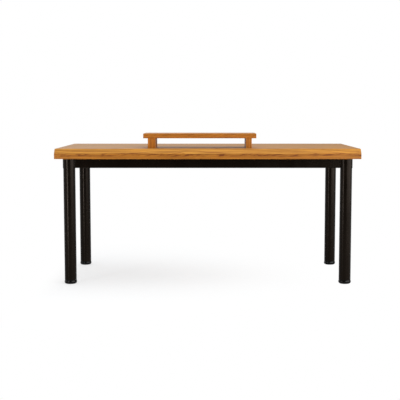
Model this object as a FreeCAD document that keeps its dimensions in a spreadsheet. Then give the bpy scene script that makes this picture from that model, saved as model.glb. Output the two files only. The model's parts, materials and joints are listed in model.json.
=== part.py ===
import FreeCAD, Part
import os
import Sketcher

# Writing desk: a thick solid-wood top with a bevelled front edge, on a black steel frame
# with four round legs, and a loose riser of the same wood that stands on the top.
# Millimetres. X runs along the desk, the front faces -Y, and Z is up from the floor.
# The origin is on the floor, below the middle of the top.

doc = FreeCAD.newDocument("writing_desk")

# Driving dimensions
sizes = {
    "top_length": 1600,
    "top_depth": 750,
    "top_thickness": 53,
    "desk_height": 720,
    "bevel_height": 25,
    "bevel_setback": 25,
    "bevel_edge_radius": 4,
    "top_edge_radius": 2,
    "leg_diameter": 63,
    "leg_wall": 2,
    "leg_inset": 69,
    "rail_height": 50,
    "rail_width": 25,
    "rail_wall": 2,
    "rail_corner_radius": 3,
    "socket_wall": 1.8,
    "socket_clearance": 0.2,
    "socket_web": 5,
    "socket_recess": 10,
    "plug_height": 12,
    "bolt_diameter": 10,
    "bolt_length": 22,
    "bolt_head_diameter": 18,
    "bolt_head_height": 5.5,
    "bolt_hole_clearance": 0.5,
    "washer_diameter": 24,
    "washer_thickness": 2,
    "thread_clearance": 0.1,
    "foot_lip": 1.5,
    "foot_height": 20,
    "foot_edge_radius": 10,
    "foot_rim_radius": 3,
    "foot_travel": 15,
    "stud_diameter": 10,
    "stud_seat": 11,
    "stud_engagement": 25,
    "stud_clearance": 0.08,
    "bush_flange": 3,
    "bush_depth": 30,
    "tab_width": 40,
    "tab_reach": 34,
    "tab_thickness": 4,
    "tab_corner_radius": 6,
    "tab_centre_gap": 220,
    "tab_leg_gap": 150,
    "slot_clearance": 1,
    "slot_length": 16,
    "slot_offset": 19,
    "screw_diameter": 6,
    "screw_length": 24,
    "screw_head_diameter": 14,
    "screw_head_height": 4,
    "insert_diameter": 10,
    "insert_length": 22,
    "insert_end_gap": 2,
    "riser_length": 600,
    "riser_depth": 200,
    "riser_thickness": 25,
    "riser_leg_height": 52,
    "riser_left_leg_width": 40,
    "riser_right_leg_width": 31,
    "riser_leg_setback": 3,
    "riser_overhang": 24,
    "riser_edge_radius": 2,
    "riser_shift": 42,
    "riser_front_gap": 100,
    "dowel_diameter": 8,
    "dowel_length": 30,
    "dowel_end_gap": 1,
    "dowel_edge_gap": 40,
}

# Places and sizes that follow from the driving dimensions
places = {
    "leg_x": "Sizes.top_length / 2 - Sizes.leg_inset",
    "leg_y": "Sizes.top_depth / 2 - Sizes.leg_inset",
    "leg_inner_radius": "Sizes.leg_diameter / 2 - Sizes.leg_wall",
    "socket_inner_radius": "Sizes.leg_diameter / 2 + Sizes.socket_clearance",
    "socket_radius": "Sizes.leg_diameter / 2 + Sizes.socket_clearance + Sizes.socket_wall",
    "top_underside": "Sizes.desk_height - Sizes.top_thickness",
    "rail_bottom": "Sizes.desk_height - Sizes.top_thickness - Sizes.rail_height",
    "web_top": "Sizes.desk_height - Sizes.top_thickness - Sizes.socket_recess",
    "leg_top": "Sizes.desk_height - Sizes.top_thickness - Sizes.socket_recess - Sizes.socket_web",
    "leg_bottom": "Sizes.foot_height + Sizes.bush_flange",
    "stud_length": "Sizes.stud_seat + Sizes.foot_travel + Sizes.stud_engagement",
    "tab_outer_x": "Sizes.top_length / 2 - Sizes.leg_inset - Sizes.tab_leg_gap",
    "tab_y": "Sizes.top_depth / 2 - Sizes.leg_inset - Sizes.rail_width / 2",
    "screw_y": "Sizes.top_depth / 2 - Sizes.leg_inset - Sizes.rail_width / 2 - Sizes.slot_offset",
    "slot_width": "Sizes.screw_diameter + Sizes.slot_clearance",
    "riser_y": "Sizes.riser_front_gap + Sizes.riser_depth / 2 - Sizes.top_depth / 2",
    "riser_board_z": "Sizes.desk_height + Sizes.riser_leg_height",
    "riser_left_leg_x": "Sizes.riser_overhang + Sizes.riser_left_leg_width / 2 - Sizes.riser_length / 2",
    "riser_right_leg_x": "Sizes.riser_length / 2 - Sizes.riser_overhang - Sizes.riser_right_leg_width / 2",
    "riser_leg_depth": "Sizes.riser_depth - 2 * Sizes.riser_leg_setback",
    "dowel_hole": "Sizes.dowel_length / 2 + Sizes.dowel_end_gap",
    "dowel_y": "Sizes.riser_depth / 2 - Sizes.riser_leg_setback - Sizes.dowel_edge_gap",
}


def fill_sheet(name, cells):
    sheet = doc.addObject("Spreadsheet::Sheet", name)
    for row, (alias, content) in enumerate(cells.items(), start=1):
        text = content if isinstance(content, str) else str(content)
        sheet.set(f"A{row}", alias)
        sheet.set(f"B{row}", "=" + text if isinstance(content, str) else text)
        sheet.setAlias(f"B{row}", alias)
    doc.recompute()
    return sheet


fill_sheet("Sizes", sizes)
place_sheet = fill_sheet("Places", places)


def value_of(rule):
    return float(place_sheet.evalExpression(rule))


# Sketch and feature helpers: every rule is an expression on the two sheets.

def new_body(label):
    body = doc.addObject("PartDesign::Body", label)
    body.Label = label
    return body


def new_sketch(body, name, role, lift=None):
    plane = next(item for item in body.Origin.OriginFeatures if item.Role == role)
    sketch = body.newObject("Sketcher::SketchObject", name)
    sketch.AttachmentSupport = [(plane, "")]
    sketch.MapMode = "FlatFace"
    if lift:
        sketch.setExpression("AttachmentOffset.Base.z", lift)
    return sketch


def bind(sketch, kind, first, first_end, second, second_end, rule):
    # A distance of nothing is stated as such, because a bound zero can flip its sign.
    number = value_of(rule)
    index = sketch.addConstraint(
        Sketcher.Constraint(kind, first, first_end, second, second_end, number))
    if rule != "0":
        sketch.setExpression(f"Constraints[{index}]", rule)


def pin_point(sketch, geometry, end, across, up):
    bind(sketch, "DistanceX", -1, 1, geometry, end, across)
    bind(sketch, "DistanceY", -1, 1, geometry, end, up)


def outline(sketch, points):
    spots = [FreeCAD.Vector(value_of(across), value_of(up), 0) for across, up in points]
    first = sketch.GeometryCount
    count = len(points)
    for number in range(count):
        sketch.addGeometry(Part.LineSegment(spots[number], spots[(number + 1) % count]))
    for number in range(count):
        following = first + (number + 1) % count
        sketch.addConstraint(Sketcher.Constraint("Coincident", first + number, 2, following, 1))
    for number, (across, up) in enumerate(points):
        pin_point(sketch, first + number, 1, across, up)


def rectangle(sketch, width, height, across="0", low="0"):
    left = f"{across} - {width} / 2"
    right = f"{across} + {width} / 2"
    high = f"{low} + {height}"
    outline(sketch, [(left, low), (right, low), (right, high), (left, high)])


def circle(sketch, radius, across="0", up="0"):
    middle = FreeCAD.Vector(value_of(across), value_of(up), 0)
    number = sketch.addGeometry(Part.Circle(middle, FreeCAD.Vector(0, 0, 1), value_of(radius)))
    pin_point(sketch, number, 3, across, up)
    index = sketch.addConstraint(Sketcher.Constraint("Radius", number, value_of(radius)))
    sketch.setExpression(f"Constraints[{index}]", radius)


def pad(body, sketch, length, symmetric=False):
    feature = body.newObject("PartDesign::Pad", "Pad")
    feature.Profile = sketch
    feature.SideType = "Symmetric" if symmetric else "One side"
    feature.setExpression("Length", length)
    doc.recompute()
    return feature


def cut(body, sketch, length=None, upwards=False):
    # With no length the cut goes right through, both ways from its sketch.
    before = body.Shape.Volume
    feature = body.newObject("PartDesign::Pocket", "Pocket")
    feature.Profile = sketch
    if length is None:
        feature.SideType = "Symmetric"
        feature.Type = "ThroughAll"
    else:
        feature.Reversed = upwards
        feature.setExpression("Length", length)
    doc.recompute()
    if body.Shape.Volume >= before:
        raise RuntimeError(f"{body.Label}: a cut took nothing away")
    return feature


def turn(body, points):
    # Points are (radius, height) rules of one half of the section.
    sketch = new_sketch(body, "HalfSection", "XZ_Plane")
    outline(sketch, points)
    feature = body.newObject("PartDesign::Revolution", "Revolution")
    feature.Profile = sketch
    feature.ReferenceAxis = (sketch, ["V_Axis"])
    feature.Angle = 360
    doc.recompute()
    return feature


def ease(body, radius, chosen):
    # Rounds the edges of the body that the chosen test picks out.
    base = body.Tip
    names = [f"Edge{number}" for number, edge in enumerate(base.Shape.Edges, start=1) if chosen(edge)]
    if not names:
        raise RuntimeError(f"{body.Label}: no edge to ease")
    feature = body.newObject("PartDesign::Fillet", "Fillet")
    feature.Base = (base, names)
    feature.setExpression("Radius", radius)
    doc.recompute()
    return feature


def put(body, across="0", along="0", up="0", angle=0):
    body.Placement = FreeCAD.Placement(
        FreeCAD.Vector(), FreeCAD.Rotation(FreeCAD.Vector(0, 0, 1), angle))
    for axis, rule in (("x", across), ("y", along), ("z", up)):
        body.setExpression(f"Placement.Base.{axis}", rule)
    return body


# Edge tests in a body's own frame

near = 0.01


def runs_along(edge, axis):
    ends = [vertex.Point for vertex in edge.Vertexes]
    if len(ends) != 2 or edge.Curve.TypeId != "Part::GeomLine":
        return False
    step = ends[1] - ends[0]
    return abs(abs(step[axis]) - step.Length) < near


def lies_at(edge, axis, height):
    box = edge.BoundBox
    low = (box.XMin, box.YMin, box.ZMin)[axis]
    high = (box.XMax, box.YMax, box.ZMax)[axis]
    return abs(low - height) < near and abs(high - height) < near


def is_ring(edge, radius, height):
    if edge.Curve.TypeId != "Part::GeomCircle":
        return False
    return abs(edge.Curve.Radius - radius) < near and lies_at(edge, 2, height)


# The four corners of the frame: a name, and the signs of its X and Y
corners = {
    "front_left": ("-", "-"),
    "front_right": ("", "-"),
    "back_left": ("-", ""),
    "back_right": ("", ""),
}


def at_corner(body, corner, up):
    sign_x, sign_y = corners[corner]
    return put(body, f"{sign_x}Places.leg_x", f"{sign_y}Places.leg_y", up)


# Where the top is screwed down: X rule, Y sign and the turn of the tab there
fixings = []
for rule_x in ("Places.tab_outer_x", "Sizes.tab_centre_gap"):
    for sign_x in ("-", ""):
        fixings.append((sign_x + rule_x, "-", 0))
        fixings.append((sign_x + rule_x, "", 180))


def make_desktop():
    # Solid-wood slab with its front edge bevelled back and its arrises eased
    body = new_body("desktop")
    section = new_sketch(body, "Section", "YZ_Plane")
    front = "-Sizes.top_depth / 2"
    back = "Sizes.top_depth / 2"
    bevel_low = "Sizes.top_thickness - Sizes.bevel_height"
    bevel_back = "Sizes.bevel_setback - Sizes.top_depth / 2"
    outline(section, [
        (front, "0"),
        (back, "0"),
        (back, "Sizes.top_thickness"),
        (bevel_back, "Sizes.top_thickness"),
        (front, bevel_low),
    ])
    pad(body, section, "Sizes.top_length", symmetric=True)

    thickness = value_of("Sizes.top_thickness")
    half_length = value_of("Sizes.top_length / 2")

    def bevel_arris(edge):
        upper = lies_at(edge, 1, value_of(bevel_back)) and lies_at(edge, 2, thickness)
        lower = lies_at(edge, 1, value_of(front)) and lies_at(edge, 2, value_of(bevel_low))
        return runs_along(edge, 0) and (upper or lower)

    def other_arris(edge):
        at_end = lies_at(edge, 0, half_length) or lies_at(edge, 0, -half_length)
        at_bottom = lies_at(edge, 2, 0)
        at_back = lies_at(edge, 1, value_of(back)) and lies_at(edge, 2, thickness)
        return at_end or (runs_along(edge, 0) and (at_bottom or at_back))

    ease(body, "Sizes.bevel_edge_radius", bevel_arris)
    ease(body, "Sizes.top_edge_radius", other_arris)

    holes = new_sketch(body, "InsertHoles", "XY_Plane")
    for fixing_x, sign_y, _ in fixings:
        circle(holes, "Sizes.insert_diameter / 2", fixing_x, f"{sign_y}Places.screw_y")
    cut(body, holes, "Sizes.insert_length + Sizes.insert_end_gap", upwards=True)
    return [put(body, up="Places.top_underside")]


def make_rail(label, length, coped):
    # Rectangular steel tube along X; a coped rail's ends are cut round to fit the sockets.
    body = new_body(label)
    outer = new_sketch(body, "Outside", "YZ_Plane")
    rectangle(outer, "Sizes.rail_width", "Sizes.rail_height")
    pad(body, outer, length, symmetric=True)
    ease(body, "Sizes.rail_corner_radius", lambda edge: runs_along(edge, 0))
    inner = new_sketch(body, "Inside", "YZ_Plane")
    rectangle(inner, "(Sizes.rail_width - 2 * Sizes.rail_wall)",
              "(Sizes.rail_height - 2 * Sizes.rail_wall)", low="Sizes.rail_wall")
    cut(body, inner)
    if coped:
        ends = new_sketch(body, "Copes", "XY_Plane")
        for sign in ("-", ""):
            circle(ends, "Places.socket_radius", f"{sign}{length} / 2")
        cut(body, ends)
    return body


def make_rails():
    long_span = "2 * Places.leg_x"
    short_span = "2 * Places.leg_y"
    centre_span = "(2 * Places.leg_y - Sizes.rail_width)"
    up = "Places.rail_bottom"
    front = put(make_rail("front_rail", long_span, True), "0", "-Places.leg_y", up)
    back = put(make_rail("back_rail", long_span, True), "0", "Places.leg_y", up)
    left = put(make_rail("left_rail", short_span, True), "-Places.leg_x", "0", up, 90)
    right = put(make_rail("right_rail", short_span, True), "Places.leg_x", "0", up, 90)
    centre = put(make_rail("centre_rail", centre_span, False), "0", "0", up, 90)
    return [front, back, left, right, centre]


def make_socket(corner):
    # Round sleeve for the leg, with a web below its rim that leaves room for the bolt head
    body = new_body(f"{corner}_socket")
    hole = "Sizes.bolt_diameter / 2 + Sizes.bolt_hole_clearance"
    web_low = "Sizes.rail_height - Sizes.socket_recess - Sizes.socket_web"
    web_high = "Sizes.rail_height - Sizes.socket_recess"
    turn(body, [
        (hole, web_low),
        ("Places.socket_inner_radius", web_low),
        ("Places.socket_inner_radius", "0"),
        ("Places.socket_radius", "0"),
        ("Places.socket_radius", "Sizes.rail_height"),
        ("Places.socket_inner_radius", "Sizes.rail_height"),
        ("Places.socket_inner_radius", web_high),
        (hole, web_high),
    ])
    return at_corner(body, corner, "Places.rail_bottom")


def make_leg(corner):
    body = new_body(f"{corner}_leg")
    section = new_sketch(body, "Section", "XY_Plane")
    circle(section, "Sizes.leg_diameter / 2")
    circle(section, "Places.leg_inner_radius")
    pad(body, section, "Places.leg_top - Places.leg_bottom")
    return at_corner(body, corner, "Places.leg_bottom")


def make_leg_plug(corner):
    # Steel disc welded into the top of the leg, tapped for the leg bolt
    body = new_body(f"{corner}_leg_plug")
    section = new_sketch(body, "Section", "XY_Plane")
    circle(section, "Places.leg_inner_radius")
    circle(section, "Sizes.bolt_diameter / 2 + Sizes.thread_clearance")
    pad(body, section, "Sizes.plug_height")
    return at_corner(body, corner, "Places.leg_top - Sizes.plug_height")


def make_leg_bolt(corner):
    # Flat-headed bolt, its seat at the height of nothing in the body's own frame
    body = new_body(f"{corner}_leg_bolt")
    turn(body, [
        ("0", "-Sizes.bolt_length"),
        ("Sizes.bolt_diameter / 2", "-Sizes.bolt_length"),
        ("Sizes.bolt_diameter / 2", "0"),
        ("Sizes.bolt_head_diameter / 2", "0"),
        ("Sizes.bolt_head_diameter / 2", "Sizes.bolt_head_height"),
        ("0", "Sizes.bolt_head_height"),
    ])
    return at_corner(body, corner, "Places.web_top + Sizes.washer_thickness")


def make_leg_washer(corner):
    body = new_body(f"{corner}_leg_washer")
    section = new_sketch(body, "Section", "XY_Plane")
    circle(section, "Sizes.washer_diameter / 2")
    circle(section, "Sizes.bolt_diameter / 2 + Sizes.bolt_hole_clearance")
    pad(body, section, "Sizes.washer_thickness")
    return at_corner(body, corner, "Places.web_top")


def make_foot_bush(corner):
    # Moulded plug pressed into the end of the leg, flanged below it and bored for the stud
    body = new_body(f"{corner}_foot_bush")
    bore = "Sizes.stud_diameter / 2 + Sizes.stud_clearance"
    top = "Sizes.bush_flange + Sizes.bush_depth"
    turn(body, [
        (bore, "0"),
        ("Sizes.leg_diameter / 2", "0"),
        ("Sizes.leg_diameter / 2", "Sizes.bush_flange"),
        ("Places.leg_inner_radius", "Sizes.bush_flange"),
        ("Places.leg_inner_radius", top),
        (bore, top),
    ])
    return at_corner(body, corner, "Sizes.foot_height")


def make_foot_pad(corner):
    # Levelling foot: a disc with a round lower edge, bored from above for its stud
    body = new_body(f"{corner}_foot_pad")
    outside = "Sizes.leg_diameter / 2 + Sizes.foot_lip"
    seat = "Sizes.foot_height - Sizes.stud_seat"
    turn(body, [
        ("0", "0"),
        (outside, "0"),
        (outside, "Sizes.foot_height"),
        ("Sizes.stud_diameter / 2", "Sizes.foot_height"),
        ("Sizes.stud_diameter / 2", seat),
        ("0", seat),
    ])
    radius = value_of(outside)
    rim = value_of("Sizes.foot_height")
    ease(body, "Sizes.foot_edge_radius", lambda edge: is_ring(edge, radius, 0))
    ease(body, "Sizes.foot_rim_radius", lambda edge: is_ring(edge, radius, rim))
    return at_corner(body, corner, "0")


def make_foot_stud(corner):
    # Threaded stud fixed in the foot, screwed into the bush
    body = new_body(f"{corner}_foot_stud")
    section = new_sketch(body, "Section", "XY_Plane")
    circle(section, "Sizes.stud_diameter / 2")
    pad(body, section, "Places.stud_length")
    return at_corner(body, corner, "Sizes.foot_height - Sizes.stud_seat")


def make_tab(number, fixing_x, sign_y, angle):
    # Steel tab welded inside a long rail, slotted across the grain so that the wood can move
    body = new_body(f"tab_{number}")
    plate = new_sketch(body, "Plate", "XY_Plane")
    rectangle(plate, "Sizes.tab_width", "Sizes.tab_reach")
    pad(body, plate, "Sizes.tab_thickness")
    reach = value_of("Sizes.tab_reach")
    ease(body, "Sizes.tab_corner_radius",
         lambda edge: runs_along(edge, 2) and lies_at(edge, 1, reach))
    straight = "(Sizes.slot_length - Places.slot_width)"
    slot = new_sketch(body, "Slot", "XY_Plane")
    rectangle(slot, "Places.slot_width", straight, low=f"Sizes.slot_offset - {straight} / 2")
    cut(body, slot)
    for sign in ("-", "+"):
        end = new_sketch(body, "SlotEnd", "XY_Plane")
        circle(end, "Places.slot_width / 2", up=f"Sizes.slot_offset {sign} {straight} / 2")
        cut(body, end)
    up = "Places.top_underside - Sizes.tab_thickness"
    return put(body, fixing_x, f"{sign_y}Places.tab_y", up, angle)


def make_screw(number, fixing_x, sign_y, _):
    # Flanged screw driven up through the tab, its head below the height of nothing
    body = new_body(f"screw_{number}")
    low = "-Sizes.screw_head_height"
    turn(body, [
        ("0", low),
        ("Sizes.screw_head_diameter / 2", low),
        ("Sizes.screw_head_diameter / 2", "0"),
        ("Sizes.screw_diameter / 2", "0"),
        ("Sizes.screw_diameter / 2", "Sizes.screw_length"),
        ("0", "Sizes.screw_length"),
    ])
    up = "Places.top_underside - Sizes.tab_thickness"
    return put(body, fixing_x, f"{sign_y}Places.screw_y", up)


def make_insert(number, fixing_x, sign_y, _):
    # Threaded brass insert let into the underside of the top
    body = new_body(f"insert_{number}")
    section = new_sketch(body, "Section", "XY_Plane")
    circle(section, "Sizes.insert_diameter / 2")
    circle(section, "Sizes.screw_diameter / 2 + Sizes.thread_clearance")
    pad(body, section, "Sizes.insert_length")
    return put(body, fixing_x, f"{sign_y}Places.screw_y", "Places.top_underside")


# Dowels of the riser: the side of their leg, and their Y from the middle of the riser
dowels = []
for dowel_side in ("left", "right"):
    for dowel_along in ("-Places.dowel_y", "0", "Places.dowel_y"):
        dowels.append((dowel_side, dowel_along))


def make_block(label, width, depth, height, eased):
    # Wooden block standing on the height of nothing, with its outer arrises eased
    body = new_body(label)
    plan = new_sketch(body, "Plan", "XY_Plane")
    rectangle(plan, width, depth, low=f"-{depth} / 2")
    pad(body, plan, height)
    ease(body, "Sizes.riser_edge_radius", eased)
    return body


def make_riser_board():
    body = make_block("riser_board", "Sizes.riser_length", "Sizes.riser_depth", "Sizes.riser_thickness",
                      lambda edge: True)
    holes = new_sketch(body, "DowelHoles", "XY_Plane")
    for side, along in dowels:
        circle(holes, "Sizes.dowel_diameter / 2", f"Places.riser_{side}_leg_x", along)
    cut(body, holes, "Places.dowel_hole", upwards=True)
    return put(body, "-Sizes.riser_shift", "Places.riser_y", "Places.riser_board_z")


def make_riser_leg(side):
    # Its ends stay crisp, because the upper one is glued to the board.
    width = f"Sizes.riser_{side}_leg_width"
    body = make_block(f"riser_{side}_leg", width, "Places.riser_leg_depth", "Sizes.riser_leg_height",
                      lambda edge: runs_along(edge, 2))
    holes = new_sketch(body, "DowelHoles", "XY_Plane", lift="Sizes.riser_leg_height")
    for dowel_side, along in dowels:
        if dowel_side == side:
            circle(holes, "Sizes.dowel_diameter / 2", "0", along)
    cut(body, holes, "Places.dowel_hole")
    across = f"Places.riser_{side}_leg_x - Sizes.riser_shift"
    return put(body, across, "Places.riser_y", "Sizes.desk_height")


def make_dowel(number, side, along):
    body = new_body(f"dowel_{number}")
    section = new_sketch(body, "Section", "XY_Plane")
    circle(section, "Sizes.dowel_diameter / 2")
    pad(body, section, "Sizes.dowel_length")
    across = f"Places.riser_{side}_leg_x - Sizes.riser_shift"
    return put(body, across, f"Places.riser_y + {along}", "Places.riser_board_z - Sizes.dowel_length / 2")


def make_group(label, pieces):
    group = doc.addObject("Part::Compound", label)
    group.Label = label
    group.Links = pieces
    return group


subparts = make_desktop() + make_rails()
for make in (make_socket, make_leg, make_leg_plug, make_foot_bush, make_foot_stud, make_foot_pad):
    subparts += [make(corner) for corner in corners]
subparts.append(make_group("leg_bolts", [make_leg_bolt(corner) for corner in corners]))
subparts.append(make_group("leg_washers", [make_leg_washer(corner) for corner in corners]))
for label, make in (("top_tabs", make_tab), ("top_screws", make_screw), ("top_inserts", make_insert)):
    pieces = [make(number, *fixing) for number, fixing in enumerate(fixings)]
    subparts.append(make_group(label, pieces))
subparts.append(make_riser_board())
subparts += [make_riser_leg("left"), make_riser_leg("right")]
pieces = [make_dowel(number, *dowel) for number, dowel in enumerate(dowels)]
subparts.append(make_group("riser_dowels", pieces))

doc.recompute()
for item in doc.Objects:
    if "Invalid" in item.State or "Error" in item.State:
        raise RuntimeError(f"{item.Label} failed: {item.State}")
for subpart in subparts:
    if subpart.Shape.isNull() or not subpart.Shape.isValid():
        raise RuntimeError(f"{subpart.Label} has no valid shape")

os.makedirs("parts", exist_ok=True)
for subpart in subparts:
    subpart.Shape.exportStep(f"parts/{subpart.Label}.step")
print(f"{len(subparts)} sub-parts written")
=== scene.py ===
import json
import math
import bpy
import bmesh
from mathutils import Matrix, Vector


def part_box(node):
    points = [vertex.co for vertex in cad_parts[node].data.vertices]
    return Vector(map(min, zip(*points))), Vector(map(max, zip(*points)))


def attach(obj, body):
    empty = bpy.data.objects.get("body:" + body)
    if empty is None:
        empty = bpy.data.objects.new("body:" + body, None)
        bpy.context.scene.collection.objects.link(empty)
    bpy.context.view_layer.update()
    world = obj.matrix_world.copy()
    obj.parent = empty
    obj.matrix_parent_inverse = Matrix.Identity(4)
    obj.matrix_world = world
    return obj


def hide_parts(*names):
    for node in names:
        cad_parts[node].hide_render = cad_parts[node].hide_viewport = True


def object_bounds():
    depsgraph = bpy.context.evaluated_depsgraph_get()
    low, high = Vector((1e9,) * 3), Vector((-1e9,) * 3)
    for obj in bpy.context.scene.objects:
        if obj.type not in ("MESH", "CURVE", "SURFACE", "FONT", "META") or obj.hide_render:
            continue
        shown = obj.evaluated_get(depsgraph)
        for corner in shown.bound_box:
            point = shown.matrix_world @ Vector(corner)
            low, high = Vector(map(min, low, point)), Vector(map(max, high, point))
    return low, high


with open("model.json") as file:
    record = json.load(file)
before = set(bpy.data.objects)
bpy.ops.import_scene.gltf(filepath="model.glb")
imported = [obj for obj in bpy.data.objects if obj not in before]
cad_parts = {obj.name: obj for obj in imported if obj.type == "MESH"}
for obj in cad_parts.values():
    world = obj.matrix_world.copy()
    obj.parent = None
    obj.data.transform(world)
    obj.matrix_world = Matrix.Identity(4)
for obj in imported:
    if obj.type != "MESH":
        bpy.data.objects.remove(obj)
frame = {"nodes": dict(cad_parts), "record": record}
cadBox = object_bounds()
nodes = frame["nodes"]
scene = bpy.context.scene


def hexColour(text):  # sRGB hex to the linear colour that a shader takes
    linear = []
    for place in (0, 2, 4):
        value = int(text[place:place + 2], 16) / 255
        linear.append(value / 12.92 if value <= 0.04045 else ((value + 0.055) / 1.055) ** 2.4)
    return (*linear, 1.0)


def addNode(tree, kind, settings=None):
    # a setting is a field of the node or one of its sockets
    # a node or an output given to a socket is linked to it
    node = tree.nodes.new(kind) if isinstance(kind, str) else kind
    for key, value in (settings or {}).items():
        if isinstance(value, bpy.types.Node):
            value = value.outputs[0]
        if isinstance(value, bpy.types.NodeSocket):
            tree.links.new(value, node.inputs[key])
        elif key == "stops":  # places and grey levels along a ramp
            while len(node.color_ramp.elements) < len(value):
                node.color_ramp.elements.new(1.0)
            for element, (place, grey) in zip(node.color_ramp.elements, value):
                element.position = place
                element.color = (grey, grey, grey, 1.0)
        elif isinstance(key, int) or key in node.inputs:
            node.inputs[key].default_value = value
        else:
            setattr(node, key, value)
    return node


def newMaterial(name):
    material = bpy.data.materials.new(name)
    material.use_nodes = True
    tree = material.node_tree
    return material, tree, tree.nodes["Principled BSDF"]


mixA, mixB, mixed = 6, 7, 2      # a Mix node's two colour inputs, and its colour output
levelA, levelB = 2, 3            # its two inputs for plain levels
noiseReach = (0.3, 0.7)          # between these lies nearly all of a noise
cloudDetail, fineDetail = 3.0, 1.0

# Oiled pine: planed staves, edge-glued, sanded and oiled to a warm honey colour.
# The eye gets wide pale earlywood, narrow dark latewood lines that close into arches, a tone that changes
# from stave to stave, short dark flames in the redder heartwood, rings on the end grain, and a satin shine.
# Sizes in m. A grain size is given along the log and twice across it.
pine = {
    "pale": "CE953A",
    "dark": "88440A",
    "heartRed": "D47E1C",
    "staveRed": 0.25,            # some staves lean this far towards the heart's red
    "staveTone": (0.82, 1.08),
    "cutApart": 40.0,            # each stave is cut from another length of the log
    "heartDepth": (-0.12, -0.045),
    "logTaper": 0.016,           # m of radius per m of length, which closes the rings into arches
    "driftGrain": (0.36, 0.09, 0.09),
    "driftDetail": 2.0,
    "driftReach": (0.0, 0.018, 0.018),
    "noiseMiddle": (0.5, 0.5, 0.5),
    "acrossLog": (0, 1, 1),      # leaves out the way along it
    "ringSpacing": 0.0050,       # fast-grown pine has rings 4 to 8 mm wide
    "ringUneven": 0.006,         # good years and bad years widen and narrow them by up to half of this
    "unevenYears": 0.016,
    "ringProfile": [(0.0, 0.02), (0.45, 0.05), (0.78, 0.40), (0.90, 0.80), (1.0, 0.02)],
    "ringForce": (0.35, 1.0),    # weakest and strongest latewood
    "ringWander": 0.4,           # rings
    "ringStep": 7.31,            # keeps the rings of two staves apart
    "streakGrain": (0.24, 0.0065, 0.0065),
    "streakDetail": 3.0,
    "grainRoughness": 0.6,       # of the streaks' and flames' noise
    "streakEdge": (0.36, 0.60),
    "streakForce": 0.38,
    "streakTone": (0.83, 1.16),
    "heartEdge": 0.003,          # half the width of the line between heart and sapwood
    "seamDepth": 0.006,          # dark flames gather this far below that line
    "seamReach": (0.003, 0.010),
    "flameGrain": (0.060, 0.0065, 0.0065),
    "flameDetail": 4.0,
    "flameEdge": (0.49, 0.57),
    "flameSlant": 0.15,          # radians, because the log doesn't lie quite level in the saw
    "flameBand": (0.90, 0.022, 0.022),
    "bandEdge": (0.50, 0.62),
    "bandForce": 0.25,
    "flameForce": 0.9,
    "fibreGrain": (0.035, 0.0013, 0.0013),   # real fibres are finer, this is as fine as the render can hold
    "fibreDetail": 2.0,
    "fibreTone": (0.92, 1.06),
    "endEdge": (0.6, 0.9),       # how squarely a face must look along the log to be end grain
    "endTone": 0.62,
    "glueLine": 0.0008,          # the real 0.1 mm line would not show
    "glueTone": 0.72,
    "halfStave": 0.5,            # from a stave's middle to its glue line, in staves
    "roughness": (0.46, 0.36),   # earlywood and latewood
    "rubbedTone": 1.02,          # arrises rubbed by hands and cloths
    "rubbedEdge": (0.93, 0.995),
    "bevelFacing": (0, -0.7071, 0.7071),
    "fibreRelief": 0.6,
    "reliefDepth": 0.00016,
    "reliefForce": 0.35,
    "shine": 0.26,
    "oilCoat": 0.04,
    "oilRoughness": 0.28,
}


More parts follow.
